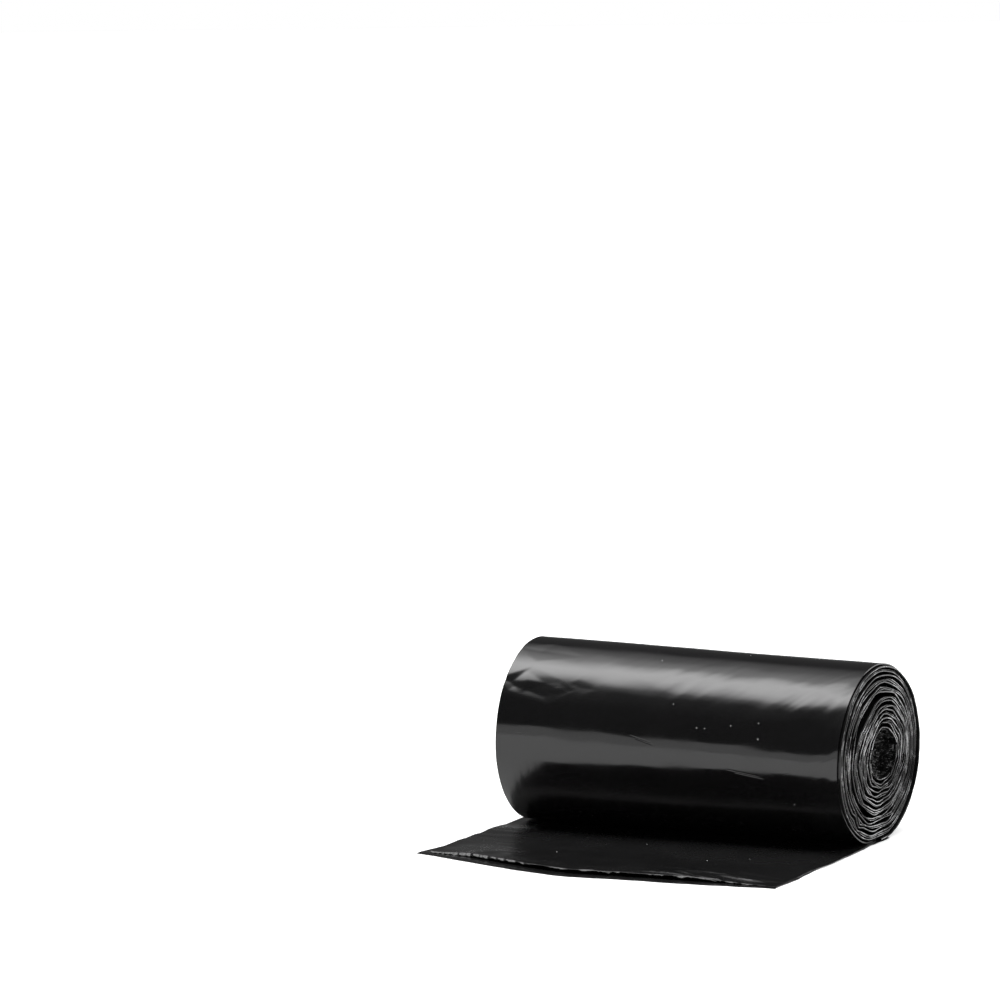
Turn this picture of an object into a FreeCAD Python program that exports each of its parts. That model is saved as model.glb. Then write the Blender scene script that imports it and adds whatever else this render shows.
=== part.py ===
"""Coreless roll of bin bags lying on its side, with the first bag pulled out flat in front of it.

The roll is one long web of folded film, so it is one solid. The web starts as a folded wad in the
middle, is wound round it in turns and then twice more as thin loose laps, comes down behind the
roll, passes under it and runs out along the surface as the tail. The turns press together inside the
roll and gape at its two ends.

Frame: +X along the roll, -Y towards the tail's free edge, +Z up. The origin is on the surface that
the roll rests on, under the roll's axis, halfway along it. Lengths are millimetres.
"""
import FreeCAD, Part
import os
from math import atan, ceil, cos, pi, radians, sin, sqrt
from types import SimpleNamespace

SIZES = {
    # the roll
    "roll_length": 285.0,
    "roll_width": 142.0,
    "roll_height": 138.0,
    "flat_width": 24.0,
    "flat_sag": 2.0,
    # the turns, each of them a bundle of real ones, and the loose laps outside them
    "turn_count": 10.0,
    "turn_gap": 0.8,
    "turn_wobble": 0.3,
    "gape_depth": 10.0,
    "lap_thickness": 0.9,
    "lap_gap": 0.35,
    "lap_shift": 8.0,
    # the folded wad in the middle, which has been drawn towards the roll's back
    "core_shift": 9.0,
    "hollow_radius": 18.0,
    "wad_thickness": 2.6,
    "wad_pitch": 4.4,
    "wad_recess": 5.0,
    # the tail
    "rest_reach": 30.0,
    "tail_reach": 187.0,
    "tail_bulge": 14.0,
    "tail_spread": 6.5,
    "corner_pull": 28.0,
    "corner_lift": 5.0,
    "ripple_height": 2.4,
    "ripple_length": 66.0,
    "edge_wave": 2.5,
    "edge_wave_length": 90.0,
    "ply_step": 6.0,
}
NODE = "bag_roll"
LOOSE_LAPS = 2
FULL = 2 * pi
LONGEST_ARC = radians(50)
LONGEST_FLAT = radians(12)
# how quickly the pull on the tail's drawn-back corner dies away along its front edge
PULL_FADE = 2.2


def make_sheet(doc):
    """The driving dimensions, one row each: name, value."""
    sheet = doc.addObject("Spreadsheet::Sheet", "Sizes")
    for row, (name, value) in enumerate(SIZES.items(), start=1):
        sheet.set(f"A{row}", name)
        sheet.set(f"B{row}", str(value))
        sheet.setAlias(f"B{row}", name)
    doc.recompute()
    return sheet


def read_sizes(sheet):
    return SimpleNamespace(**{name: float(sheet.get(name)) for name in SIZES})


class Section:
    """The web's cross-section. A place along the web is the angle `u` wound back from the middle of
    the flat spot: it grows from the bottom up the back, over the top and down the front."""

    def __init__(self, size):
        self.size = size
        self.radius = size.roll_width / 2
        self.centre = self.radius - size.flat_sag
        self.squash = size.roll_height / (self.radius + self.centre)
        half = size.flat_width / 2
        # a corner arc touches the flat at its end, and the round of the roll from inside
        self.corner_offset = (half**2 + size.flat_sag**2) / (2 * size.flat_sag)
        self.corner_radius = self.radius - self.corner_offset
        self.flat_end = atan(half / self.centre)
        self.corner_end = atan(half / (self.centre - self.corner_radius))
        self.lap_pitch = size.lap_thickness + size.lap_gap
        self.laps_end = FULL * LOOSE_LAPS
        # the web's inner end is at the front, level with the axis
        turns = size.turn_count - 0.25
        laps_radius = self.radius - self.lap_pitch * LOOSE_LAPS
        self.turn_pitch = (laps_radius - size.hollow_radius + size.turn_gap) / (turns + 1)
        self.turn_thickness = self.turn_pitch - size.turn_gap
        self.end = self.laps_end + FULL * turns

    def roundness(self, u):
        """The flat-bottomed outline's radius at an angle, as a share of the round one."""
        away = abs((u + pi) % FULL - pi)
        if away <= self.flat_end:
            return self.centre / cos(away) / self.radius
        if away < self.corner_end:
            turn = self.corner_end - away
            across = self.corner_offset * sin(turn)
            along = self.corner_offset * cos(turn)
            return (along + sqrt(self.corner_radius**2 - across**2)) / self.radius
        return 1.0

    def settled(self, u):
        """0 on the loose laps, rising to 1 one turn further in."""
        return min(1.0, max(0.0, (u - self.laps_end) / FULL))

    def outer_radius(self, u):
        size = self.size
        laps = min(u, self.laps_end) / FULL
        turns = max(0.0, u - self.laps_end) / FULL
        wobble = size.turn_wobble * sin(2.3 * u) * self.settled(u)
        return self.radius - self.lap_pitch * laps - self.turn_pitch * turns + wobble

    def inner_radius(self, u):
        size = self.size
        if u + FULL > self.end:
            return self.outer_radius(u) - self.turn_thickness
        tight = self.settled(u + FULL)
        gap = size.lap_gap + (size.turn_gap - size.lap_gap) * tight
        gap += size.turn_wobble * sin(3.7 * u) * self.settled(u)
        return self.outer_radius(u + FULL) + gap

    def drawn(self, radius):
        """How far a turn of this radius has been drawn to the back along with the wad."""
        return self.size.core_shift * (1 - radius / self.radius)

    def place(self, u, radius):
        """The point at angle u and at a radius measured on the round outline."""
        reach = radius * self.roundness(u)
        y = self.drawn(radius) + reach * sin(u)
        return FreeCAD.Vector(0, y, self.squash * (self.centre - reach * cos(u)))

    def outer(self, u):
        return self.place(u, self.outer_radius(u))

    def inner(self, u):
        return self.place(u, self.inner_radius(u))

    def middle(self, u):
        return self.place(u, (self.outer_radius(u) + self.inner_radius(u)) / 2)

    def cuts(self, start, stop, longest):
        """Angles that part a stretch: at the flat spot's ends and corners, and evenly between."""
        marks = [start, stop, self.end - FULL]
        for turn in range(int(stop // FULL) + 2):
            for corner in (self.flat_end, self.corner_end):
                marks += [FULL * turn + corner, FULL * turn - corner]
        marks = sorted(mark for mark in marks if start <= mark <= stop)
        angles = marks[:1]
        for mark in marks[1:]:
            steps = ceil((mark - angles[-1]) / longest)
            first = angles[-1]
            angles += [first + (mark - first) * k / steps for k in range(1, steps + 1)]
        return angles

    def whole_face(self):
        """Everything inside the middle of the outermost lap, as if no turn gaped."""
        start, stop = self.flat_end, self.flat_end + FULL
        edges = chain(self.middle, self.cuts(start, stop, LONGEST_ARC))
        return filled(edges + [Part.makeLine(self.middle(start), self.middle(stop))])

    def face(self, start, stop):
        """The web's cross-section between two angles. The film creases into short flats in the tight
        turns, and the loose laps stay round."""
        loose = self.cuts(start, min(stop, self.laps_end), LONGEST_ARC)
        edges = chain(self.outer, loose) + chain(self.inner, loose)
        if stop > self.laps_end:
            creases = self.cuts(self.laps_end, stop, LONGEST_FLAT)
            for side in (self.outer, self.inner):
                edges += Part.makePolygon([side(u) for u in creases]).Edges
        edges += [Part.makeLine(self.outer(u), self.inner(u)) for u in (start, stop)]
        return filled(edges)


def chain(at, places):
    """Arcs through a curve's points, with a line wherever the curve is straight."""
    edges = []
    for a, b in zip(places, places[1:]):
        first, middle, last = at(a), at((a + b) / 2), at(b)
        bow = (middle - (first + last) / 2).Length
        straight = bow < 0.0005
        edges.append(Part.makeLine(first, last) if straight else Part.Arc(first, middle, last).toShape())
    return edges


def filled(edges):
    return Part.Face(Part.Wire(Part.__sortEdges__(edges)))


def spread(start, stop, count):
    return [start + (stop - start) * k / count for k in range(count + 1)]


def wad_face(section, size):
    """The web's folded start: leaves laid to and fro across the hollow, the top one's end caught in
    the innermost turn."""
    room = size.hollow_radius - size.turn_gap - size.wad_thickness / 2
    bend = size.wad_pitch / 2
    levels = int(0.85 * room / size.wad_pitch)
    heights = [size.wad_pitch * level for level in range(levels, -levels - 1, -1)]
    reaches = [sqrt(room**2 - height**2) for height in heights]
    axis = section.squash * section.centre
    drawn = section.drawn(size.hollow_radius)

    def point(y, height):
        return FreeCAD.Vector(0, drawn + y, axis + height)

    caught = sqrt(size.hollow_radius**2 - heights[0] ** 2) + section.turn_thickness / 2
    corners = [point(-caught, heights[0])]
    for k in range(len(heights) - 1):
        side = 1 if k % 2 == 0 else -1
        y = side * (min(reaches[k], reaches[k + 1]) - bend)
        crease = y + side * 0.8 * bend
        corners += [point(y, heights[k]), point(crease, heights[k] - bend / 2)]
        corners += [point(crease, heights[k + 1] + bend / 2), point(y, heights[k + 1])]
    corners.append(point((-1) ** k * -reaches[-1], heights[-1]))
    outline = Part.makePolygon(corners).makeOffset2D(size.wad_thickness / 2, 2, False, False)
    return Part.Face(outline)


def extruded(doc, name, face, direction, forward, back):
    """A face extruded both ways along a direction by lengths that are expressions of the sheet."""
    profile = doc.addObject("Part::Feature", name + "Section")
    profile.Shape = face
    solid = doc.addObject("Part::Extrusion", name)
    solid.Base = profile
    solid.DirMode = "Custom"
    solid.Dir = direction
    solid.Solid = True
    solid.setExpression("LengthFwd", forward)
    solid.setExpression("LengthRev", back)
    return solid


def shared(doc, name, base, tool):
    common = doc.addObject("Part::Common", name)
    common.Base = base
    common.Tool = tool
    return common


ALONG = FreeCAD.Vector(1, 0, 0)
BACKWARD = FreeCAD.Vector(0, 1, 0)
UPWARD = FreeCAD.Vector(0, 0, 1)


def make_turns(doc, section):
    """Everything from the top of the outer lap inwards, as long as the roll."""
    face = section.face(pi, section.end)
    return extruded(doc, "Turns", face, ALONG, "Sizes.roll_length / 2", "Sizes.roll_length / 2")


def make_middle(doc, section):
    """The stretch of the roll between the gaping ends, where the turns press together."""
    half = "Sizes.roll_length / 2 - Sizes.gape_depth"
    return extruded(doc, "Middle", section.whole_face(), ALONG, half, half)


def make_wad(doc, section, size):
    half = "Sizes.roll_length / 2 - Sizes.wad_recess"
    return extruded(doc, "Wad", wad_face(section, size), ALONG, half, half)


def make_back_lap(doc, section, size):
    """The outer lap's way down the back, on which it shifts sideways and its plies spread."""
    face = section.face(section.flat_end, pi)
    lap = extruded(doc, "Lap", face, ALONG, "Sizes.roll_length", "Sizes.roll_length")
    half = size.roll_length / 2
    left, right = tail_sides(size)
    corners = [(-half, size.roll_height), (half, size.roll_height), (right, 0), (left, 0)]
    points = [FreeCAD.Vector(x, 0, z) for x, z in corners]
    drift = Part.Face(Part.makePolygon(points + points[:1]))
    window = extruded(doc, "LapDrift", drift, BACKWARD, "Sizes.roll_width", "Sizes.roll_width")
    return shared(doc, "BackLap", lap, window)


def tail_sides(size):
    """Where the tail's two sides are: shifted to one side of the roll, and spread a little."""
    half = size.roll_length / 2
    return -half - size.lap_shift - size.tail_spread, half - size.lap_shift + size.tail_spread


def tail_height(size, y, lift):
    """How high the tail's underside is: flat under the roll, then rippled, and raised to the front."""
    out = -y - size.rest_reach
    if out <= 0:
        return 0.0
    ripple = size.ripple_height * (1 - cos(FULL * out / size.ripple_length)) / 2
    return ripple + lift * (out / (size.tail_reach - size.rest_reach)) ** 2


def make_ply(doc, name, section, size, low, high, setback):
    """One ply of the tail between two levels, its front edge set back from the lower ply's."""
    back = section.outer(section.flat_end).y
    beyond = -1.2 * size.tail_reach
    left, right = tail_sides(size)
    flat_from = left + 0.4 * (right - left)
    margin = 2 * size.edge_wave
    steps = spread(-size.rest_reach, beyond, 8)
    stations = [(left - margin, size.corner_lift), (flat_from, 0), (right + margin, 0)]
    outlines = []
    for number, (x, lift) in enumerate(stations):

        def corner(y, level):
            return FreeCAD.Vector(x, y, level + tail_height(size, y, lift))

        edges = chain(lambda y: corner(y, low), steps)
        edges += chain(lambda y: corner(y, high), steps)
        edges += [Part.makeLine(corner(back, level), corner(steps[0], level)) for level in (low, high)]
        edges += [Part.makeLine(corner(y, low), corner(y, high)) for y in (back, beyond)]
        outline = doc.addObject("Part::Feature", f"{name}Outline{number}")
        outline.Shape = Part.Wire(Part.__sortEdges__(edges))
        outlines.append(outline)
    blanket = doc.addObject("Part::Loft", name + "Blanket")
    blanket.Sections = outlines
    blanket.Ruled = True
    blanket.Solid = True
    seen_from_above = plan_face(size, back, left, right, setback)
    plan = extruded(doc, name + "Plan", seen_from_above, UPWARD, "Sizes.roll_height", "Sizes.flat_sag")
    return shared(doc, name, blanket, plan)


def plan_face(size, back, left, right, setback):
    """The tail seen from above: wavy sides, a bulging front edge and one corner drawn back."""

    def front(x, moved=0.0):
        share = (x - left) / (right - left)
        pulled = size.corner_pull * max(0.0, 1 - share) ** PULL_FADE
        reach = size.tail_reach - pulled + size.tail_bulge * sin(pi * share)
        return FreeCAD.Vector(x, moved - reach, 0)

    def side(edge):
        def at(y):
            wave = size.edge_wave * sin(FULL * (back - y) / size.edge_wave_length)
            fade = min(1.0, (y - front(edge).y) / size.edge_wave_length)
            return FreeCAD.Vector(edge + wave * fade, y, 0)

        return chain(at, spread(back, front(edge).y, 8))

    edges = side(left) + side(right) + chain(front, spread(left, right, 8))
    edges.append(Part.makeLine(FreeCAD.Vector(left, back, 0), FreeCAD.Vector(right, back, 0)))
    plan = filled(edges)
    if setback == 0:
        return plan
    margin = 2 * size.edge_wave
    ends = [left - margin, right + margin]
    trimmed = chain(lambda x: front(x, setback), spread(*ends, 8))
    behind = [FreeCAD.Vector(x, back + margin, 0) for x in ends]
    trimmed += [Part.makeLine(front(x, setback), corner) for x, corner in zip(ends, behind)]
    trimmed.append(Part.makeLine(*behind))
    return plan.common(filled(trimmed)).Faces[0]


def make_roll(doc, section, size):
    """The one solid: turns, pressed middle, wad, the outer lap's back and the tail's two plies."""
    middle = size.lap_thickness / 2
    tail = doc.addObject("Part::MultiFuse", "OuterLapAndTail")
    tail.Shapes = [
        make_back_lap(doc, section, size),
        make_ply(doc, "LowerPly", section, size, 0.0, middle, 0.0),
        make_ply(doc, "UpperPly", section, size, middle, size.lap_thickness, size.ply_step),
    ]
    roll = doc.addObject("Part::MultiFuse", "BagRoll")
    roll.Shapes = [
        make_turns(doc, section),
        make_middle(doc, section),
        make_wad(doc, section, size),
        tail,
    ]
    roll.Label = NODE
    roll.Placement = FreeCAD.Placement()
    return roll


def check(doc, roll):
    bad = [item.Name for item in doc.Objects if "Invalid" in item.State or "Error" in item.State]
    if bad:
        raise RuntimeError("not computed: " + ", ".join(bad))
    if roll.Shape.isNull() or not roll.Shape.isValid():
        raise RuntimeError("the roll's shape is not valid")
    if len(roll.Shape.Solids) != 1:
        raise RuntimeError(f"the roll is {len(roll.Shape.Solids)} solids, not one")


os.makedirs("parts", exist_ok=True)
doc = FreeCAD.newDocument("bin_bag_roll")
sizes = read_sizes(make_sheet(doc))
bag_roll = make_roll(doc, Section(sizes), sizes)
doc.recompute()
check(doc, bag_roll)
bag_roll.Shape.exportStep(f"parts/{NODE}.step")
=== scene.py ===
"""Looks of the bin bag roll: a coreless roll of black film bags, its loose end laid out in front."""
import random
from math import atan, cos, pi, radians, sin, sqrt, tau

import bpy
from mathutils import Matrix, Vector, noise


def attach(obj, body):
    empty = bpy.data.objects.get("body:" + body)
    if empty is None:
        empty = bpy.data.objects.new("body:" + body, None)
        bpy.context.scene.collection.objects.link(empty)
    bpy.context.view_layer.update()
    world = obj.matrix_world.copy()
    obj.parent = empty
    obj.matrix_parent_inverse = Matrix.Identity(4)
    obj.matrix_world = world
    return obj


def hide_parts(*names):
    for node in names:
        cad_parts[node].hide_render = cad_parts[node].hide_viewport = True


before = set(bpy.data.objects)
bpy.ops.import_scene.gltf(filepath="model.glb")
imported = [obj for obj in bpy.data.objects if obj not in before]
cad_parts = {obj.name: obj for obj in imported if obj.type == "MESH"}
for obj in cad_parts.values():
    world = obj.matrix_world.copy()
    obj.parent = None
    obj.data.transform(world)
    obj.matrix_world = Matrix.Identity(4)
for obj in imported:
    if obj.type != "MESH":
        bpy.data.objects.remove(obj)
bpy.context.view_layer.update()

NODE = "bag_roll"

# The roll, in metres
HALF_LENGTH = 0.1425
RADIUS = 0.071
HEIGHT = 0.138
FLAT_WIDTH = 0.024
FLAT_SAG = 0.002
END_WIDTHS = (0.98, 1.022)
END_HEIGHTS = (1.02, 0.967)
END_LEAN = 0.023

# The web: its thickness and how it is wound
WEB = 0.0009
LAP_PITCH = 0.0015
LOOSE_LAPS = 2
TURN_PITCH = 0.0023
CORE_RADIUS = 0.0195
CORE_OFFSET = Vector((0.0, 0.0165, -0.004))
CORE_WIDENING = 0.24
BUNDLE = 0.0069
BUNDLE_SWING = 0.00102

# The loose end: two plies, the upper one set back a little from the lower one's front edge
PLY = 0.00045
SIDES_UPPER = (-0.1500, 0.1435)
SIDES_LOWER = (-0.1530, 0.1425)
CORNER_FLARE = 0.0070
REST_REACH = 0.030
TAIL_REACH = 0.188
TAIL_BULGE = 0.017
CORNER_PULL = 0.030

# The camera: a long lens, a little above the roll and to its right
FOCAL_PIXELS = 5000
IMAGE_PIXELS = 1000
SENSOR = 36.0
CAMERA_AZIMUTH = radians(28.31)
CAMERA_ELEVATION = radians(6.91)
CAMERA_ROLL = radians(-1.47)
CAMERA_DISTANCE = 3.760
AIM = Vector((0.0, 0.0, 0.069))
AIM_PIXEL = (705.6, 738.9)


# Small sums

def mix(a, b, share):
    return a + (b - a) * share


def smooth(low, high, value):
    share = min(1.0, max(0.0, (value - low) / (high - low)))
    return share * share * (3 - 2 * share)


def wander(*where):
    """Smooth noise from about -1 to 1 at a place of up to three numbers."""
    return noise.noise(Vector((*where, 0.0, 0.0)[:3]))


def turned(angle, middle):
    """How far an angle is from a middle one, from -pi to pi."""
    return (angle - middle + pi) % tau - pi


def ridge(angle, middle, half):
    """A peak of height 1 with straight flanks."""
    return max(0.0, 1 - abs(turned(angle, middle)) / half)


# The roll's cross-section

class Section:
    """The roll's outline across its axis. `u` is the angle wound back from the middle of the flat spot:
    up the back, over the top and down the front."""

    centre = RADIUS - FLAT_SAG
    squash = HEIGHT / (2 * RADIUS - FLAT_SAG)
    corner_offset = ((FLAT_WIDTH / 2) ** 2 + FLAT_SAG**2) / (2 * FLAT_SAG)
    corner_radius = RADIUS - corner_offset
    flat_end = atan(FLAT_WIDTH / 2 / centre)
    corner_end = atan(FLAT_WIDTH / 2 / (centre - corner_radius))

    @classmethod
    def roundness(cls, u):
        away = abs(turned(u, 0.0))
        if away <= cls.flat_end:
            return cls.centre / cos(away) / RADIUS
        if away < cls.corner_end:
            turn = cls.corner_end - away
            across = cls.corner_offset * sin(turn)
            return (cls.corner_offset * cos(turn) + sqrt(cls.corner_radius**2 - across**2)) / RADIUS
        return 1.0

    @classmethod
    def place(cls, x, u, radius):
        """A point at angle u and at a radius measured on the round outline."""
        reach = radius * cls.roundness(u)
        share = (x + HALF_LENGTH) / (2 * HALF_LENGTH)
        inward = 1 - radius / RADIUS
        y = reach * sin(u) * (1 + CORE_WIDENING * inward) + CORE_OFFSET.y * inward
        z = cls.centre - reach * cos(u) + CORE_OFFSET.z * inward
        y *= mix(*END_WIDTHS, share)
        z *= cls.squash * mix(*END_HEIGHTS, share)
        return Vector((x + END_LEAN * (z - HEIGHT / 2), y, z))


def lap_radius(u):
    """The web's outer radius before it wanders: thin loose laps first, and then the tight turns."""
    laps = min(u / tau, LOOSE_LAPS)
    return RADIUS - LAP_PITCH * laps - TURN_PITCH * max(0.0, u / tau - LOOSE_LAPS)


LAST_TURN = tau * (LOOSE_LAPS + (lap_radius(tau * LOOSE_LAPS) - CORE_RADIUS) / TURN_PITCH)


# Meshes

SHARP = radians(42)


def mesh_piece(name, verts, faces, *materials, faces_of_second=()):
    """A piece of the scene; the faces listed last take the second material."""
    mesh = bpy.data.meshes.new(name)
    mesh.from_pydata([tuple(v) for v in verts], [], faces)
    for material in materials:
        mesh.materials.append(material)
    for face in faces_of_second:
        mesh.polygons[face].material_index = 1
    mesh.shade_smooth()
    mesh.set_sharp_from_angle(angle=SHARP)
    mesh.update()
    piece = bpy.data.objects.new(name, mesh)
    bpy.context.scene.collection.objects.link(piece)
    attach(piece, "root")
    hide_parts(NODE)
    return piece


def strip_faces(rows, columns, closed=False):
    """Quads between rows of vertices; closed joins each row's last column to its first."""
    last = columns if closed else columns - 1
    faces = []
    for j in range(rows - 1):
        for i in range(last):
            a = j * columns + i
            b = j * columns + (i + 1) % columns
            faces.append((a, b, b + columns, a + columns))
    return faces


def build_sheet(name, place, rows, columns, thickness, material):
    """A closed sheet, where place(j, i) is its middle surface."""
    grid = [[place(j, i) for i in range(columns)] for j in range(rows)]
    verts = []
    for j in range(rows):
        outer, inner = [], []
        for i in range(columns):
            across = grid[j][min(i + 1, columns - 1)] - grid[j][max(i - 1, 0)]
            along = grid[min(j + 1, rows - 1)][i] - grid[max(j - 1, 0)][i]
            half = across.cross(along).normalized() * thickness / 2
            outer.append(grid[j][i] + half)
            inner.append(grid[j][i] - half)
        verts += outer + inner[::-1]
    width = 2 * columns
    faces = strip_faces(rows, width, closed=True)
    for base in (0, (rows - 1) * width):
        for i in range(columns - 1):
            a, b = base + i, base + i + 1
            c, d = base + width - 2 - i, base + width - 1 - i
            faces.append((a, b, c, d) if base else (d, c, b, a))
    return mesh_piece(name, verts, faces, material)


def column_share(i, columns):
    """Shares across a sheet, closer together near its sides."""
    share = i / (columns - 1)
    return share - 0.036 * sin(tau * share)


# The outer lap

class Dent:
    """A faceted dent: straight creases round it, each with its own slope down into it. Places on the
    lap are x along the roll and s, the way down over the front from the top, in metres."""

    def __init__(self, corners, slopes):
        self.sides = []
        middle_x = sum(x for x, _ in corners) / len(corners)
        middle_s = sum(s for _, s in corners) / len(corners)
        for (x, s), (next_x, next_s), slope in zip(corners, corners[1:] + corners[:1], slopes):
            length = sqrt((next_x - x) ** 2 + (next_s - s) ** 2)
            in_x, in_s = (s - next_s) / length, (next_x - x) / length
            if in_x * (middle_x - x) + in_s * (middle_s - s) < 0:
                in_x, in_s = -in_x, -in_s
            self.sides.append((x, s, in_x * slope, in_s * slope))

    def depth(self, x, s):
        return max(0.0, min((x - x0) * in_x + (s - s0) * in_s for x0, s0, in_x, in_s in self.sides))


DENTS = (
    Dent(
        [(-0.148, 0.061), (-0.124, 0.047), (-0.080, 0.065), (-0.101, 0.079), (-0.139, 0.071)],
        (0.13, 0.045, 0.09, 0.150, 0.13),
    ),
    Dent([(-0.112, 0.058), (-0.098, 0.057), (-0.088, 0.068), (-0.104, 0.074)], (0.05, 0.075, 0.06, 0.075)),
    Dent([(-0.090, 0.061), (-0.080, 0.056), (-0.062, 0.064), (-0.078, 0.071)], (0.05, 0.04, 0.035, 0.05)),
    Dent([(-0.144, 0.026), (-0.118, 0.016), (-0.088, 0.032), (-0.124, 0.042)], (0.05, 0.035, 0.035, 0.05)),
)
BUCKLES = (
    Dent([(-0.138, 0.062), (-0.127, 0.052), (-0.108, 0.062), (-0.127, 0.072)], (0.07, 0.085, 0.07, 0.07)),
    Dent([(-0.108, 0.062), (-0.098, 0.060), (-0.086, 0.068), (-0.100, 0.074)], (0.05, 0.09, 0.06, 0.05)),
)
LAP_ANGLES = (
    *(mix(Section.flat_end, radians(150), k / 46) for k in range(46)),
    *(mix(radians(150), radians(300), k / 146) for k in range(146)),
    *(mix(radians(300), tau, k / 22) for k in range(23)),
)
LAP_COLUMNS = 152
LAP_SETBACK = 0.0021
LAP_SIDE_WANDER = 0.0006

# How far each kind of unevenness stands out of the lap
SWELLS = 0.00042
PULLS = 0.00018
FEATHERS = 0.00012
RIPPLES = 0.00075
FLUTES_LEFT = 0.00009
FLUTES_RIGHT = 0.00030


def lap_relief(x, u):
    """How far the outer lap stands out from the round, with its ripples, pulls and dents."""
    s = (u - pi) * RADIUS
    relief = SWELLS * wander(x * 7, s * 20, 7.3)
    relief += PULLS * wander(x * 22 + s * 26, s * 60 - x * 26, 4.6)
    lit = smooth(-0.100, -0.060, x) * smooth(0.015, 0.035, s) * smooth(0.090, 0.070, s)
    along, across = s - x, s + x
    feathers = wander(across * 95, along * 20, 2.2) + 0.6 * wander(across * 210, along * 34, 5.8)
    relief += FEATHERS * lit * (0.6 + 0.9 * wander(x * 14, s * 14, 3.1)) * feathers
    near_right = smooth(0.030, 0.085, x) * smooth(0.030, 0.050, s) * smooth(0.125, 0.085, s)
    relief += RIPPLES * near_right * wander(x * 38 + s * 26, s * 34 - x * 15, 9.7)
    near_left = smooth(-0.080, -0.120, x) * smooth(0.085, 0.120, s) * smooth(0.180, 0.150, s)
    flutes = wander(x * 95, s * 14, 5.1) + 0.5 * wander(x * 240, s * 30, 8.1)
    relief += FLUTES_LEFT * near_left * flutes
    near_rim = smooth(0.105, 0.140, x) * smooth(0.030, 0.050, s)
    relief += FLUTES_RIGHT * near_rim * wander(x * 120 + s * 50, s * 22, 6.7)
    dented = max(dent.depth(x, s) for dent in DENTS)
    buckled = max(buckle.depth(x, s) for buckle in BUCKLES)
    return relief - dented + buckled


def outer_lap(material):
    def place(j, i):
        u = LAP_ANGLES[j]
        share = column_share(i, LAP_COLUMNS)
        under = (1 + cos(u)) / 2 if u < pi else 0.0
        around = (u + 2.0) * RADIUS
        left = mix(-HALF_LENGTH, SIDES_LOWER[0], under)
        left += LAP_SIDE_WANDER * wander(around * 22, 1.5)
        right = mix(HALF_LENGTH - LAP_SETBACK, SIDES_LOWER[1], under)
        right += LAP_SIDE_WANDER * wander(around * 26, 9.5)
        x = mix(left, right, share)
        return Section.place(x, u, lap_radius(u) - WEB / 2 + lap_relief(x, u))

    return build_sheet("outer_lap", place, len(LAP_ANGLES), LAP_COLUMNS, WEB * 0.98, material)


# The loose end

TAIL_COLUMNS = 236
UPPER_ROWS = 128
LOWER_ROWS = 50
TAIL_BACK = 0.014

# Its front edge: further forward in the left half, and the upper ply set back
LEFT_FORWARD = 0.0042
RIGHT_NOTCH = 0.0026
EDGE_WANDER = 0.0008
SETBACK = 0.0030
SETBACK_MIDDLE = 0.0058

# How high the upper ply is at that edge, how much lower towards its corners, and how far it rolls down
EDGE_HEIGHT = 0.0036
EDGE_LOWER_LEFT = 0.0017
EDGE_LOWER_RIGHT = 0.0026
EDGE_DROP = 0.0004
EDGE_DROP_LEFT = 0.0013
CRUMPLE = 0.0013
FINE_CRUMPLE = 0.0009

# How high the upper ply is between the roll and that edge, and its ripples
FREE_HEIGHT = 0.0017
PLY_RIPPLES = 0.0009
PLY_WRINKLES = 0.00022
LEFT_WRINKLES = 0.00035
CRINKLES = 0.0010
LOWER_LIFT = 0.0004
LOWER_FLARE_RIGHT = 0.0025


def tail_front(share):
    """How far in front of the axis the lower ply's edge is, at a share of its width."""
    pulled = CORNER_PULL * max(0.0, 1 - share) ** 2.2
    bulge = TAIL_BULGE * max(0.0, sin(pi * share)) ** 1.5
    bulge += LEFT_FORWARD * smooth(0.60, 0.44, share) - RIGHT_NOTCH * ridge(share, 0.66, 0.18)
    return pulled - TAIL_REACH - bulge - EDGE_WANDER * wander(share * 22, 5.4)


def upper_front(share):
    """The same for the upper ply, which is set back."""
    step = SETBACK + SETBACK_MIDDLE * smooth(0.0, 0.12, share) * smooth(1.05, 0.70, share)
    return tail_front(share) + step + 0.0012 * wander(share * 17, 3.3) + 0.0005 * wander(share * 70, 8.8)


def edge_height(share):
    """How high the upper ply is over the surface just behind its front edge."""
    left = EDGE_LOWER_LEFT * smooth(0.15, 0.01, share)
    right = EDGE_LOWER_RIGHT * smooth(0.70, 0.99, share)
    return EDGE_HEIGHT - left - right + 0.0005 * wander(share * 11, 6.1)


def edge_drop(share):
    """How far the upper ply's front edge rolls down from there."""
    left = EDGE_DROP_LEFT * smooth(0.34, 0.14, share) * smooth(0.0, 0.08, share)
    crumple = CRUMPLE * wander(share * 41, 2.7) + FINE_CRUMPLE * wander(share * 120, 7.7)
    return max(0.0001, EDGE_DROP + left + crumple) * smooth(1.01, 0.93, share)


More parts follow.
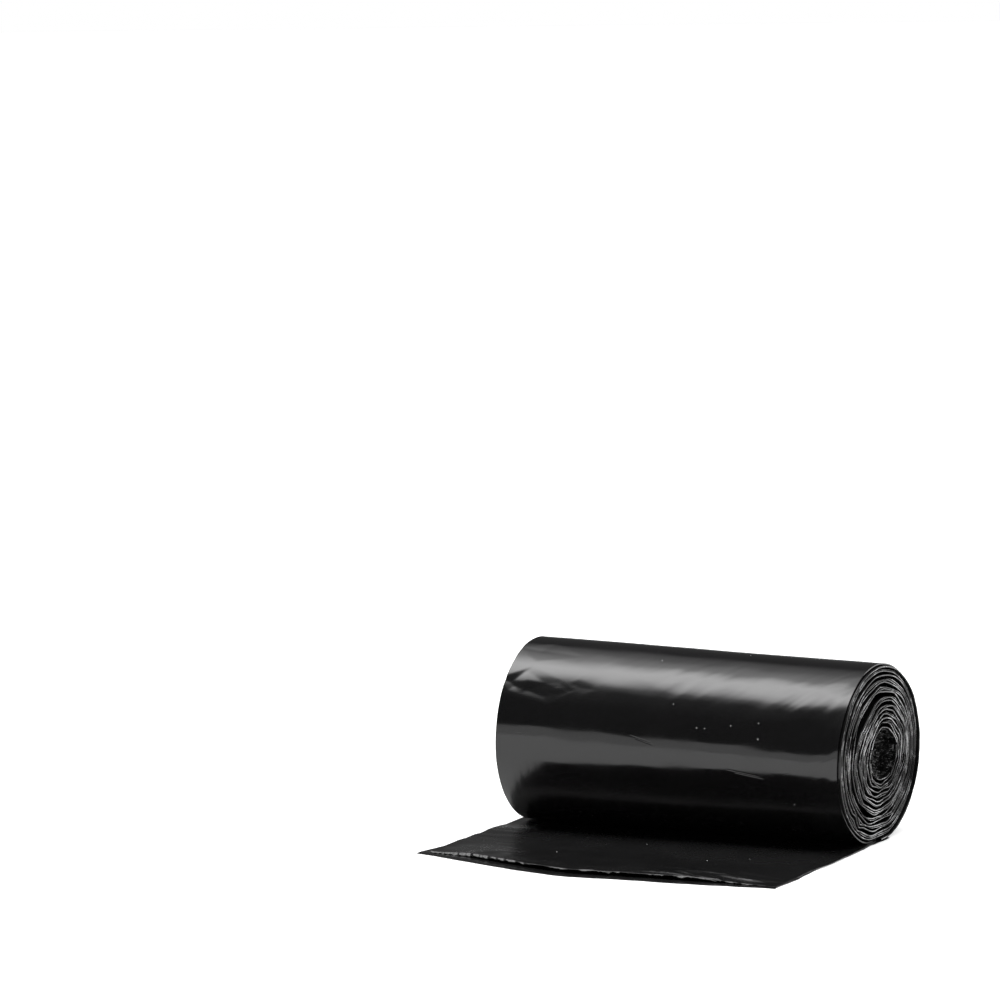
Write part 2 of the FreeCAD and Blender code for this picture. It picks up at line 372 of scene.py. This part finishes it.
def upper_height(x, y, share):
    """The height of the upper ply's underside over the surface."""
    out = -y - REST_REACH
    if out <= 0:
        return PLY
    free = smooth(0.0, 0.05, out)
    ripple = PLY_RIPPLES * wander(x * 7, y * 30, 2.3) + PLY_WRINKLES * wander(x * 24, y * 90, 8.4)
    ripple += LEFT_WRINKLES * smooth(-0.08, -0.14, x) * wander(x * 30 - y * 12, y * 130 + x * 20, 6.6)
    height = PLY + free * (FREE_HEIGHT + ripple)
    to_edge = y - upper_front(share)
    near = smooth(0.060, 0.010, to_edge)
    height = mix(height, edge_height(share) + 0.00025 * wander(x * 55, y * 80, 1.9), near)
    crinkled = smooth(0.045, 0.015, to_edge) * smooth(0.50, 0.80, share)
    crinkle = max(0.0, 1 - 7 * abs(wander(x * 16 - y * 20, y * 95 + x * 12, 4.4)))
    height += CRINKLES * crinkled * crinkle
    drop = edge_drop(share)
    height -= drop * smooth(1.5 * drop, 0.0, to_edge)
    settle = smooth(0.0, 0.028, SIDES_UPPER[1] - x)
    return PLY + (height - PLY) * mix(0.25, 1.0, settle)


def side_wave(y, seed, size):
    """How far a side of the loose end wavers."""
    return size * wander(y * 24, seed) + 0.3 * size * wander(y * 90, seed + 4)


def upper_ply(material):
    def place(j, i):
        share = column_share(i, TAIL_COLUMNS)
        way = 1 - (1 - j / (UPPER_ROWS - 1)) ** 1.6
        y = mix(TAIL_BACK, upper_front(share), way)
        left = SIDES_UPPER[0] + side_wave(y, 1.5, 0.0024)
        right = SIDES_UPPER[1] + side_wave(y, 9.5, 0.0034)
        x = mix(left, right, share)
        return Vector((x, y, upper_height(x, y, share) + PLY / 2))

    return build_sheet("loose_end_upper", place, UPPER_ROWS, TAIL_COLUMNS, -PLY * 0.96, material)


def lower_ply(material):
    def place(j, i):
        share = column_share(i, TAIL_COLUMNS)
        front = tail_front(share)
        y = mix(TAIL_BACK, front, (j / (LOWER_ROWS - 1)) ** 0.7)
        near = smooth(0.050, 0.0, y - front)
        lean = END_LEAN * HEIGHT / 2 * smooth(-REST_REACH, TAIL_BACK, y)
        left = SIDES_LOWER[0] - lean + side_wave(y, 3.5, 0.0012) - CORNER_FLARE * near
        right = SIDES_LOWER[1] - lean + side_wave(y, 6.5, 0.0022) + LOWER_FLARE_RIGHT * near
        x = mix(left, right, share)
        lift = LOWER_LIFT * near * smooth(0.0, 0.004, y - front) * (1 + wander(x * 45, y * 30, 3.8))
        return Vector((x, y, PLY / 2 + lift))

    return build_sheet("loose_end_lower", place, LOWER_ROWS, TAIL_COLUMNS, -PLY * 0.96, material)


# The turns' edges at the two ends

STATIONS_PER_TURN = 150
FACETS = 9
FACET_DEPTH = 0.0012
GAPE_DEPTH = 0.018
LIP_DEPTH = 0.0009
LIP_STEPS = 8
LIP_FACES = (5, 6)
FLOOR_SETBACK = 0.97

# Where the turns part, where they fold over and where they come to a peak, and by how much
SPLIT_ANGLE = pi + 0.62
SPLIT_RADIUS = 0.0470
SPLIT_WIDTH = 0.0064
FOLD_ANGLE = -0.62
FOLD_RADIUS = 0.0610
FOLD_WIDTH = 0.0024
PEAK_TOP = pi + 0.05
PEAK_FOOT = 0.25
PEAK_HEIGHT = 0.0022


def wound(u, radius):
    """A radius inside the roll, moved so that the turns crowd into bundles and open gaps between them."""
    inside = smooth(0.0, 0.004, RADIUS - radius) * smooth(0.0, 0.003, radius - CORE_RADIUS)
    around = (cos(u), sin(u))
    unruly = smooth(0.068, 0.050, radius)
    stray = 1.2 * sin(u + 3.8) + 0.8 * sin(2 * u + radius * 160)
    stray += 1.5 * wander(1.4 * around[0], 1.4 * around[1], radius * 70)
    bunch = BUNDLE_SWING * sin(tau * radius / BUNDLE + mix(0.3, 1.0, unruly) * stray)
    sway = unruly * (0.0008 * sin(2 * u + 1.0 + 60 * radius) + 0.0005 * sin(3 * u - 90 * radius))
    kinks = 0.0005 * wander(5 * around[0], 5 * around[1], radius * 120) + facet(u, radius)
    peaks = ridge(u, PEAK_TOP, 0.8) + 0.3 * ridge(u, PEAK_FOOT, 0.9)
    peaks *= PEAK_HEIGHT * smooth(0.064, 0.050, radius)
    split = -SPLIT_WIDTH * smooth(0.90, 0.15, abs(turned(u, SPLIT_ANGLE)))
    split *= smooth(0.0016, -0.0016, radius - SPLIT_RADIUS) * min(1.0, (radius - CORE_RADIUS) / 0.027)
    fold = ridge(u, FOLD_ANGLE, 0.10) - ridge(u, FOLD_ANGLE - 0.19, 0.10)
    fold *= FOLD_WIDTH * smooth(0.0045, 0.0015, abs(radius - FOLD_RADIUS))
    return radius + inside * (bunch + sway + kinks + peaks + split + fold)


def facet(u, radius):
    """How far in a turn's straight stretches run, between the kinks that it shares with its neighbours."""
    stretch = tau / FACETS
    shift = 1.4 * wander(radius * 55, 4.1) + 0.35 * wander(radius * 260, 1.7)
    bow = abs((u + shift) % stretch - stretch / 2) / (stretch / 2)
    return FACET_DEPTH * (bow**2 - 0.5) * smooth(0.068, 0.055, radius)


def edge_offset(u, radius, seed):
    """How far a turn's edge stands out of the end face or in from it."""
    around = (cos(u), sin(u))
    bundles = 0.0011 * wander(radius * 180, seed, 0.5 * around[0])
    bundles += 0.0005 * wander(u / tau * 0.9, seed, 3.3)
    wave = 0.0005 * wander(2.4 * around[1] + radius * 160, 2.4 * around[0], seed)
    crumple = 0.00025 * wander(15 * around[1] + radius * 300, 15 * around[0], seed + 5)
    cup = -0.0012 * smooth(0.034, CORE_RADIUS, radius)
    proud = 0.0022 * smooth(0.0026, 0.0016, RADIUS - radius)
    return bundles + wave + crumple + cup + proud - 0.0006


def turn_edges(name, side, seed, film, whitened_and_highlit):
    """The web's edge wound up as a ribbon, from the second lap in to the core, with a floor behind it."""
    count = int(STATIONS_PER_TURN * (LAST_TURN - tau) / tau)
    rounding = [pi * k / LIP_STEPS for k in range(LIP_STEPS + 1)]
    lip = [(0.0, GAPE_DEPTH), (0.0, LIP_DEPTH * 1.6)]
    lip += [((1 - cos(angle)) / 2, LIP_DEPTH * (1 - sin(angle))) for angle in rounding]
    lip += [(1.0, LIP_DEPTH * 1.6), (1.0, GAPE_DEPTH)]
    verts = []
    for k in range(count + 1):
        u = mix(tau, LAST_TURN, k / count)
        nominal = lap_radius(u)
        outer = wound(u, nominal)
        room = outer - wound(u + tau, lap_radius(u + tau))
        thickness = max(0.0003, min(0.0014 + 0.0003 * wander(u * 0.9, seed), 0.84 * room))
        end = HALF_LENGTH + edge_offset(u, nominal, seed)
        tilt = 0.0007 * wander(u * 0.45, seed + 9) + 0.0004 * wander(u * 3.1, seed + 6)
        for across, depth in lip:
            radius = outer - thickness * (1 - across)
            verts.append(Section.place(side * (end - depth + tilt * (across - 0.5)), u, radius))
    faces = strip_faces(count + 1, len(lip))
    # The crest faces of each lip take the second material, whose pale patches are partly whitened film and
    # partly a painted highlight.
    lips = [face for face in range(len(faces)) if face % (len(lip) - 1) in LIP_FACES]
    rim = len(verts)
    floor_x = side * (HALF_LENGTH - GAPE_DEPTH * FLOOR_SETBACK)
    for k in range(STATIONS_PER_TURN):
        u = tau * k / STATIONS_PER_TURN
        verts.append(Section.place(floor_x, u, RADIUS - WEB * 1.6))
    faces.append(tuple(range(rim, rim + STATIONS_PER_TURN)))
    return mesh_piece(name, verts, faces, film, whitened_and_highlit, faces_of_second=lips)


CORE_RINGS = 56
CORE_SPOKES = 168
CORE_TUCK = 0.0006
HOLLOW_DEPTH = 0.0082
FOLD_RISE = 0.0052
FINE_FOLD_RISE = 0.0028


def core_wad(name, side, seed, material):
    """The crumpled start of the web in the middle of one end."""
    verts = []
    for ring in range(CORE_RINGS):
        share = ring / (CORE_RINGS - 1)
        for k in range(CORE_SPOKES):
            u = tau * k / CORE_SPOKES
            radius = share * (CORE_RADIUS + CORE_TUCK)
            y, z = radius * sin(u), radius * cos(u)
            bend = 2 * wander(y * 90, z * 90, seed)
            folds = max(0.0, 1 - 4.5 * abs(wander(y * 150 + bend, z * 80 - bend, seed + 1.0))) ** 1.4
            fine = max(0.0, 1 - 3.6 * abs(wander(y * 330 - bend, z * 260, seed + 2.0)))
            depth = HOLLOW_DEPTH - FOLD_RISE * folds - FINE_FOLD_RISE * fine - 0.001 * share**6
            verts.append(Section.place(side * (HALF_LENGTH - depth), u, radius))
    return mesh_piece(name, verts, strip_faces(CORE_RINGS, CORE_SPOKES, closed=True), material)


# Dust: places on the wrap, by x and the degrees down from the top, and on the loose end, by x and y

WRAP_DUST = (
    (-0.0227, 23),
    (0.0019, 57),
    (0.0247, 71),
    (0.0313, 71),
    (0.0520, 68),
    (0.0741, 65),
    (0.0754, 75),
    (0.1032, 116),
)
TAIL_DUST = ((-0.0103, -0.0815), (-0.0588, -0.1327), (0.0581, -0.1211), (0.0858, -0.1066))
WRAP_FLAKE = 0.00040
TAIL_FLAKE = 0.00045
STREWN_FLAKES = 26
FLAKE_CORNERS = 5
FLAKE_TIP = Vector((0, -0.7, 0.5))


def dust(material):
    """A few pale flakes: those on the front and on the loose end, and some strewn over the rest."""
    strewn = random.Random(7)
    spots = []
    for x, from_top in WRAP_DUST:
        u = pi + radians(from_top)
        spots.append((Section.place(x, u, RADIUS - LAP_PITCH / 2 + lap_relief(x, u)), WRAP_FLAKE))
    for x, y in TAIL_DUST:
        share = (x - SIDES_UPPER[0]) / (SIDES_UPPER[1] - SIDES_UPPER[0])
        spots.append((Vector((x, y, upper_height(x, y, share) + PLY)), TAIL_FLAKE))
    for _ in range(STREWN_FLAKES):
        x, u = strewn.uniform(-0.135, 0.135), strewn.uniform(radians(40), radians(185))
        spots.append((Section.place(x, u, lap_radius(u) + lap_relief(x, u)), strewn.uniform(0.0002, 0.0004)))
    verts, faces = [], []
    for centre, size in spots:
        base = len(verts)
        turn = strewn.uniform(0, tau)
        for k in range(FLAKE_CORNERS):
            angle = turn + tau * k / FLAKE_CORNERS
            reach = size * strewn.uniform(0.6, 1.2)
            verts.append(centre + Vector((cos(angle), 0.5 * sin(angle), sin(angle))) * reach)
        verts += [centre + FLAKE_TIP * size, centre - FLAKE_TIP * size]
        tip = base + FLAKE_CORNERS
        for k in range(FLAKE_CORNERS):
            here, following = base + k, base + (k + 1) % FLAKE_CORNERS
            faces.append((here, following, tip))
            faces.append((following, here, tip + 1))
    return mesh_piece("dust", verts, faces, material)


# Materials

class Nodes:
    """Adds nodes to a tree, and links them by socket."""

    def __init__(self, tree):
        self.tree = tree
        tree.nodes.clear()

    def add(self, kind, **settings):
        node = self.tree.nodes.new(kind)
        for name, value in settings.items():
            setattr(node, name, value)
        return node

    def link(self, source, target):
        self.tree.links.new(source, target)

    def math(self, operation, *values):
        """The result of a sum whose inputs are sockets or numbers."""
        node = self.add("ShaderNodeMath", operation=operation)
        for socket, value in zip(node.inputs, values):
            if isinstance(value, (int, float)):
                socket.default_value = value
            else:
                self.link(value, socket)
        return node.outputs[0]

    def between(self, value, low, high, start=0.0, stop=1.0, kind="SMOOTHSTEP"):
        """A value moved from the range low to high to the range start to stop."""
        node = self.add("ShaderNodeMapRange", interpolation_type=kind)
        self.link(value, node.inputs["Value"])
        for name, limit in zip(("From Min", "From Max", "To Min", "To Max"), (low, high, start, stop)):
            node.inputs[name].default_value = limit
        return node.outputs["Result"]

    def noise(self, where, scale, detail=2.0, roughness=0.5):
        node = self.add("ShaderNodeTexNoise")
        self.link(where, node.inputs["Vector"])
        node.inputs["Scale"].default_value = scale
        node.inputs["Detail"].default_value = detail
        node.inputs["Roughness"].default_value = roughness
        return node.outputs["Fac"]

    def parts(self, vector):
        """The outputs X, Y and Z of a vector."""
        node = self.add("ShaderNodeSeparateXYZ")
        self.link(vector, node.inputs[0])
        return node.outputs

    def stretched(self, where, scale, turn=(0.0, 0.0, 0.0)):
        node = self.add("ShaderNodeMapping")
        self.link(where, node.inputs["Vector"])
        node.inputs["Scale"].default_value = scale
        node.inputs["Rotation"].default_value = turn
        return node.outputs["Vector"]


# Creases in the front of the wrap, from one place (x, z) to another
CREASES = (
    ((-0.030, 0.0812), (-0.0095, 0.0762)),
    ((-0.025, 0.0790), (-0.008, 0.0746)),
    ((0.050, 0.0607), (0.080, 0.0565)),
    ((0.056, 0.0588), (0.084, 0.0548)),
)
CREASE_WIDTH = 0.0006
CREASE_DEPTH = 6.0
FILM_IOR = 1.5
BUMP_HEIGHT = 0.0003
FLUTED_ROUGHNESS = 0.12


def new_material(name):
    material = bpy.data.materials.new(name)
    material.use_nodes = True
    nodes = Nodes(material.node_tree)
    out = nodes.add("ShaderNodeOutputMaterial")
    return material, nodes, out


def new_surface(name):
    """A material with a principled shader, and the places on the piece that it can vary by."""
    material, nodes, out = new_material(name)
    shader = nodes.add("ShaderNodeBsdfPrincipled")
    nodes.link(shader.outputs["BSDF"], out.inputs["Surface"])
    return material, nodes, shader, nodes.add("ShaderNodeTexCoord").outputs["Object"]


def crease(nodes, parts, start, stop):
    """The depth of one straight crease, which fades at its ends and is on the front only."""
    length = sqrt((stop[0] - start[0]) ** 2 + (stop[1] - start[1]) ** 2)
    way_x, way_z = (stop[0] - start[0]) / length, (stop[1] - start[1]) / length
    x = nodes.math("SUBTRACT", parts["X"], start[0])
    z = nodes.math("SUBTRACT", parts["Z"], start[1])
    along = nodes.math("ADD", nodes.math("MULTIPLY", x, way_x), nodes.math("MULTIPLY", z, way_z))
    across = nodes.math("SUBTRACT", nodes.math("MULTIPLY", x, way_z), nodes.math("MULTIPLY", z, way_x))
    line = nodes.between(nodes.math("ABSOLUTE", across), 0.0, CREASE_WIDTH, CREASE_DEPTH, 0.0, kind="LINEAR")
    ends = nodes.between(along, 0.0, 0.2 * length)
    ends = nodes.math("MULTIPLY", ends, nodes.between(along, length, 0.6 * length))
    ends = nodes.math("MULTIPLY", ends, nodes.between(parts["Y"], 0.0, -0.02))
    return nodes.math("MULTIPLY", line, ends)


def fine_wrinkles(nodes, where, stretch):
    """Long fine wrinkles, with a net of creases in patches."""
    long_wrinkles = nodes.noise(nodes.stretched(where, stretch), 75.0, detail=4.0, roughness=0.55)
    lines = nodes.add("ShaderNodeTexVoronoi", feature="DISTANCE_TO_EDGE")
    lines.inputs["Scale"].default_value = 21.0
    nodes.link(nodes.stretched(where, (0.55, 1.0, 1.0), (0.3, 0.5, 0.4)), lines.inputs["Vector"])
    grooves = nodes.between(lines.outputs["Distance"], 0.0, 0.010)
    patches = nodes.between(nodes.noise(where, 14.0), 0.50, 0.62)
    creases = nodes.math("MULTIPLY", nodes.math("SUBTRACT", 1.0, grooves), patches)
    return nodes.math("MULTIPLY_ADD", creases, -0.35, long_wrinkles)


def film_material(name, tone, roughness, wrinkle, stretch, dull_near_roll=0.0, sheen=0.5, fluted=0.0):
    """Black polythene film: glossy, finely wrinkled along one direction, with creases here and there.
    The fluted one also has the wrap's own creases, and fine flutes low on the front at its left end."""
    material, nodes, shader, where = new_surface(name)
    shader.inputs["IOR"].default_value = FILM_IOR
    shader.inputs["Specular IOR Level"].default_value = sheen
    shader.inputs["Base Color"].default_value = (*tone, 1)

    haze = nodes.noise(where, 23.0, detail=5.0, roughness=0.6)
    gloss = nodes.between(haze, 0.3, 0.7, roughness - 0.03, roughness + 0.05)
    height = fine_wrinkles(nodes, where, stretch)
    if dull_near_roll:
        dull = nodes.between(nodes.parts(where)["Y"], -0.15, -0.09, 0.0, dull_near_roll)
        gloss = nodes.math("ADD", gloss, dull)
    if fluted:
        parts = nodes.parts(where)
        low_left = nodes.between(parts["X"], -0.085, -0.125)
        low_left = nodes.math("MULTIPLY", low_left, nodes.between(parts["Z"], 0.075, 0.055))
        gloss = nodes.math("MULTIPLY_ADD", low_left, FLUTED_ROUGHNESS, gloss)
        for ends in CREASES:
            height = nodes.math("SUBTRACT", height, crease(nodes, parts, *ends))
        flutes = nodes.noise(nodes.stretched(where, (1.0, 0.10, 0.10)), 300.0, detail=3.0)
        flutes = nodes.math("MULTIPLY", flutes, fluted)
        height = nodes.math("MULTIPLY_ADD", flutes, low_left, height)
    nodes.link(gloss, shader.inputs["Roughness"])

    bump = nodes.add("ShaderNodeBump")
    bump.inputs["Strength"].default_value = wrinkle
    bump.inputs["Distance"].default_value = BUMP_HEIGHT
    nodes.link(height, bump.inputs["Height"])
    nodes.link(bump.outputs["Normal"], shader.inputs["Normal"])
    return material


# Shares of a noise at which the crests of the film's edges are black and pale, and those colours: the pale
# is partly whitened cut film and partly a painted highlight
CREST_WEAR_AND_HIGHLIGHT_TONES = ((0.49, (0.012, 0.012, 0.012, 1)), (0.62, (0.66, 0.66, 0.67, 1)))


def whitened_and_highlit_material(name):
    """The crests of the film's cut edges, pale in places: partly whitened film, partly a painted highlight
    where the crests would catch the light.
    """
    material, nodes, shader, where = new_surface(name)
    shader.inputs["Roughness"].default_value = 0.34
    patches = nodes.noise(where, 60.0, detail=4.0, roughness=0.7)
    tone = nodes.add("ShaderNodeValToRGB")
    for stop, (position, color) in zip(tone.color_ramp.elements, CREST_WEAR_AND_HIGHLIGHT_TONES):
        stop.position = position
        stop.color = color
    nodes.link(patches, tone.inputs["Fac"])
    nodes.link(tone.outputs["Color"], shader.inputs["Base Color"])
    return material


def dust_material(name):
    """Pale flakes, not all of one grey."""
    material, nodes, shader, where = new_surface(name)
    shader.inputs["Roughness"].default_value = 0.8
    grey = nodes.between(nodes.noise(where, 400.0), 0.3, 0.7, 0.65, 0.9)
    nodes.link(grey, shader.inputs["Base Color"])
    return material


# Stage, light and camera

FLOOR_SIZE = 40.0
FLOOR_TONE = 0.82
FLOOR_GLOW = 0.57


def add_floor():
    """A pale floor that glows a little for the camera and in reflections, and still takes a shadow."""
    material, nodes, out = new_material("studio_floor")
    diffuse = nodes.add("ShaderNodeBsdfDiffuse")
    diffuse.inputs["Color"].default_value = (FLOOR_TONE, FLOOR_TONE, FLOOR_TONE, 1)
    glow = nodes.add("ShaderNodeEmission")
    both = nodes.add("ShaderNodeAddShader")
    path = nodes.add("ShaderNodeLightPath")
    seen = nodes.math("MAXIMUM", path.outputs["Is Camera Ray"], path.outputs["Is Glossy Ray"])
    seen = nodes.math("MAXIMUM", seen, path.outputs["Is Transmission Ray"])
    nodes.link(nodes.math("MULTIPLY", seen, FLOOR_GLOW), glow.inputs["Strength"])
    nodes.link(diffuse.outputs[0], both.inputs[0])
    nodes.link(glow.outputs[0], both.inputs[1])
    nodes.link(both.outputs[0], out.inputs["Surface"])

    half = FLOOR_SIZE / 2
    mesh = bpy.data.meshes.new("studio_floor")
    corners = [(-half, -half, 0), (half, -half, 0), (half, half, 0), (-half, half, 0)]
    mesh.from_pydata(corners, [], [(0, 1, 2, 3)])
    mesh.materials.append(material)
    floor = bpy.data.objects.new("studio_floor", mesh)
    bpy.context.scene.collection.objects.link(floor)


# The overhead softbox, by degrees from straight up towards the back, and how bright it is there
SOFTBOX_PEAK = 7.1
SOFTBOX = (
    (-46, 0.0),
    (-27, 0.02),
    (-20, 0.14),
    (-12, 0.72),
    (-4, 1.0),
    (5, 1.0),
    (12, 0.70),
    (19, 0.32),
    (34, 0.10),
    (52, 0.0),
)
SOFTBOX_SPAN = 60

# The rest of the studio: a sweep near the floor, bright in front and at the right, a card, and the dark
SWEEP_TOP = sin(radians(10))
SWEEP_BLUR = 0.006
SWEEP_FRONT = 1.13
SWEEP_BACK = 0.06
CARD = 1.7
DARK = 0.07


def set_world():
    """A dark studio: a long softbox overhead, a white sweep low in front and at the right, and a card
    at the back on the right. The camera sees white behind the object."""
    world = bpy.data.worlds.new("studio")
    bpy.context.scene.world = world
    world.use_nodes = True
    nodes = Nodes(world.node_tree)
    out = nodes.add("ShaderNodeOutputWorld")
    parts = nodes.parts(nodes.add("ShaderNodeTexCoord").outputs["Generated"])
    x, y, z = (parts[axis] for axis in "XYZ")

    back = nodes.math("ARCTAN2", y, z)
    span = radians(SOFTBOX_SPAN)
    profile = nodes.add("ShaderNodeValToRGB")
    stops = profile.color_ramp.elements
    for k, (angle, share) in enumerate(SOFTBOX):
        position = (angle + SOFTBOX_SPAN) / (2 * SOFTBOX_SPAN)
        stop = stops[k] if k < 2 else stops.new(position)
        stop.position = position
        stop.color = (share, share, share, 1)
    nodes.link(nodes.between(back, -span, span, kind="LINEAR"), profile.inputs["Fac"])
    ends = nodes.math("MULTIPLY", nodes.between(x, -0.86, -0.72), nodes.between(x, 0.02, -0.22, 0.5))
    ends = nodes.math("MULTIPLY", ends, nodes.between(x, 0.85, 0.60))
    softbox = nodes.math("MULTIPLY", profile.outputs["Color"], ends)
    softbox = nodes.math("MULTIPLY", softbox, SOFTBOX_PEAK)

    low = nodes.between(z, SWEEP_TOP + SWEEP_BLUR, SWEEP_TOP - SWEEP_BLUR)
    open_side = nodes.math("MAXIMUM", nodes.between(y, 0.15, -0.15), nodes.between(x, -0.05, 0.20))
    sweep = nodes.between(open_side, 0.0, 1.0, SWEEP_BACK, SWEEP_FRONT, kind="LINEAR")
    sweep = nodes.math("MULTIPLY", low, sweep)

    card = nodes.math("MULTIPLY", nodes.between(y, 0.45, 0.70), nodes.between(x, -0.26, -0.12))
    card = nodes.math("MULTIPLY", card, nodes.between(z, 0.56, 0.46))
    card = nodes.math("MULTIPLY", card, CARD)

    light = nodes.math("ADD", softbox, nodes.math("MAXIMUM", sweep, card))
    light = nodes.math("ADD", light, DARK)
    studio = nodes.add("ShaderNodeBackground")
    studio.inputs["Color"].default_value = (1, 1, 1, 1)
    nodes.link(light, studio.inputs["Strength"])
    white = nodes.add("ShaderNodeBackground")
    white.inputs["Color"].default_value = (1, 1, 1, 1)
    choice = nodes.add("ShaderNodeMixShader")
    nodes.link(nodes.add("ShaderNodeLightPath").outputs["Is Camera Ray"], choice.inputs["Fac"])
    nodes.link(studio.outputs[0], choice.inputs[1])
    nodes.link(white.outputs[0], choice.inputs[2])
    nodes.link(choice.outputs[0], out.inputs["Surface"])


def add_camera():
    """A camera that sees AIM at AIM_PIXEL."""
    forward = Vector((
        -sin(CAMERA_AZIMUTH) * cos(CAMERA_ELEVATION),
        cos(CAMERA_AZIMUTH) * cos(CAMERA_ELEVATION),
        -sin(CAMERA_ELEVATION),
    ))
    level = Vector((cos(CAMERA_AZIMUTH), sin(CAMERA_AZIMUTH), 0.0))
    upright = level.cross(forward)
    right = level * cos(CAMERA_ROLL) + upright * sin(CAMERA_ROLL)
    up = upright * cos(CAMERA_ROLL) - level * sin(CAMERA_ROLL)
    sideways, down = ((pixel - IMAGE_PIXELS / 2) / FOCAL_PIXELS * CAMERA_DISTANCE for pixel in AIM_PIXEL)
    place = AIM - forward * CAMERA_DISTANCE - right * sideways + up * down
    data = bpy.data.cameras.new("camera")
    data.sensor_width = SENSOR
    data.lens = FOCAL_PIXELS / IMAGE_PIXELS * SENSOR
    data.clip_end = 100.0
    camera = bpy.data.objects.new("camera", data)
    turn = Matrix((right, up, -forward)).transposed()
    camera.matrix_world = Matrix.Translation(place) @ turn.to_4x4()
    bpy.context.scene.collection.objects.link(camera)
    bpy.context.scene.camera = camera


# The scene

bpy.context.scene.view_settings.view_transform = "Standard"
film = film_material(
    "black_film",
    tone=(0.0055, 0.0055, 0.0058),
    roughness=0.11,
    wrinkle=0.12,
    stretch=(0.30, 1.0, 1.0),
    fluted=2.6,
)
# The loose end is the same film as the wrap, with a lighter base colour: a painted sheen standing in for the
# soft reflection of the softbox on it.
loose = film_material(
    "black_film_loose",
    tone=(0.0095, 0.0095, 0.0097),
    roughness=0.18,
    wrinkle=0.45,
    stretch=(0.22, 1.0, 1.0),
    dull_near_roll=0.08,
    sheen=0.32,
)
edges = film_material(
    "black_film_edges",
    tone=(0.006, 0.006, 0.006),
    roughness=0.14,
    wrinkle=0.15,
    stretch=(1.0, 1.0, 1.0),
    sheen=0.34,
)
core = film_material(
    "black_film_core",
    tone=(0.004, 0.004, 0.004),
    roughness=0.14,
    wrinkle=0.15,
    stretch=(1.0, 1.0, 1.0),
    sheen=0.42,
)
# The lips' crests: partly whitened cut film, partly a painted highlight.
whitened_and_highlit = whitened_and_highlit_material("edges_whitened_and_highlit")
outer_lap(film)
upper_ply(loose)
lower_ply(loose)
turn_edges("turns_right", 1, 2.4, edges, whitened_and_highlit)
turn_edges("turns_left", -1, 11.4, edges, whitened_and_highlit)
core_wad("core_right", 1, 4.4, core)
core_wad("core_left", -1, 15.4, core)
dust(dust_material("dust"))
add_floor()
set_world()
add_camera()
